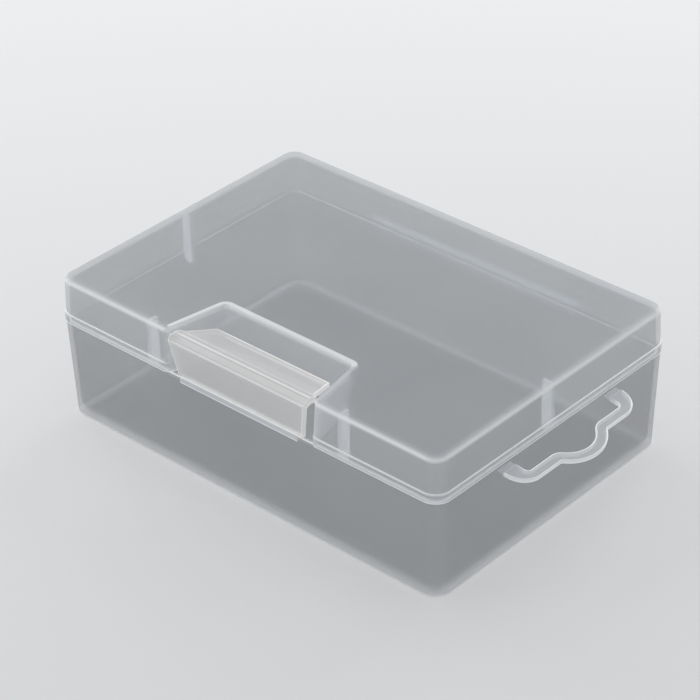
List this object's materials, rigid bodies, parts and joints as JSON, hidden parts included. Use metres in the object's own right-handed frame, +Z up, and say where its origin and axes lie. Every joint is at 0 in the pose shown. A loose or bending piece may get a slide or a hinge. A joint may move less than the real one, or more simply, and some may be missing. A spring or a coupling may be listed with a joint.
{
  "type": "hinged storage box",
  "caption": "Shallow rectangular storage box of milky clear plastic, with a living-hinged lid, a front latch flap in a pocket of the lid and an arched hanging tab.",
  "frame": {"origin": "middle of the base's flat underside", "axes": "+X along the length towards the hanging tab, +Y towards the back hinge, +Z up through the lid"},
  "size_m": [0.1204, 0.0783, 0.0355],
  "materials": {
    "base_plastic": "satin, milky translucent polypropylene",
    "lid_plastic": "satin, milky translucent polypropylene",
    "latch_plastic": "satin, milky translucent polypropylene",
    "hinge_plastic": "glossy, whitened at the bend",
    "tab_plastic": "satin, milky translucent polypropylene"
  },
  "bodies": {
    "base": {"base_tray": "base_plastic", "base_hinge_bar": "hinge_plastic", "latch_shelf": "base_plastic", "back_hinge_web": "hinge_plastic", "latch_hinge_web": "hinge_plastic", "hanger_hinge_web": "hinge_plastic"},
    "lid": {"lid_shell": "lid_plastic", "lid_rim_band": "lid_plastic", "lid_pocket_wall": "lid_plastic", "lid_hinge_bar": "hinge_plastic", "lid_rib_left": "lid_plastic", "lid_rib_right": "lid_plastic", "lid_rib_front_left": "lid_plastic", "lid_rib_front_right": "lid_plastic"},
    "latch": {"latch_plate": "latch_plastic", "latch_bar": "latch_plastic", "latch_lip": "latch_plastic"},
    "hanger": {"hang_tab": "tab_plastic"}
  },
  "joints": [
    {"name": "lid_hinge", "type": "hinge", "parent": "base", "child": "lid", "pos_m": [0, 0.03955, 0.02455], "axis": [-1, 0, 0], "range_deg": [0, 180], "deforming": ["back_hinge_web"]},
    {"name": "latch_hinge", "type": "hinge", "parent": "base", "child": "latch", "pos_m": [0, -0.0385, 0.0248], "axis": [1, 0, 0], "range_deg": [0, 150], "deforming": ["latch_hinge_web"]},
    {"name": "hanger_hinge", "type": "hinge", "parent": "base", "child": "hanger", "pos_m": [0.05585, 0, 0.02375], "axis": [0, -1, 0], "range_deg": [-78, 100], "deforming": ["hanger_hinge_web"]}
  ]
}
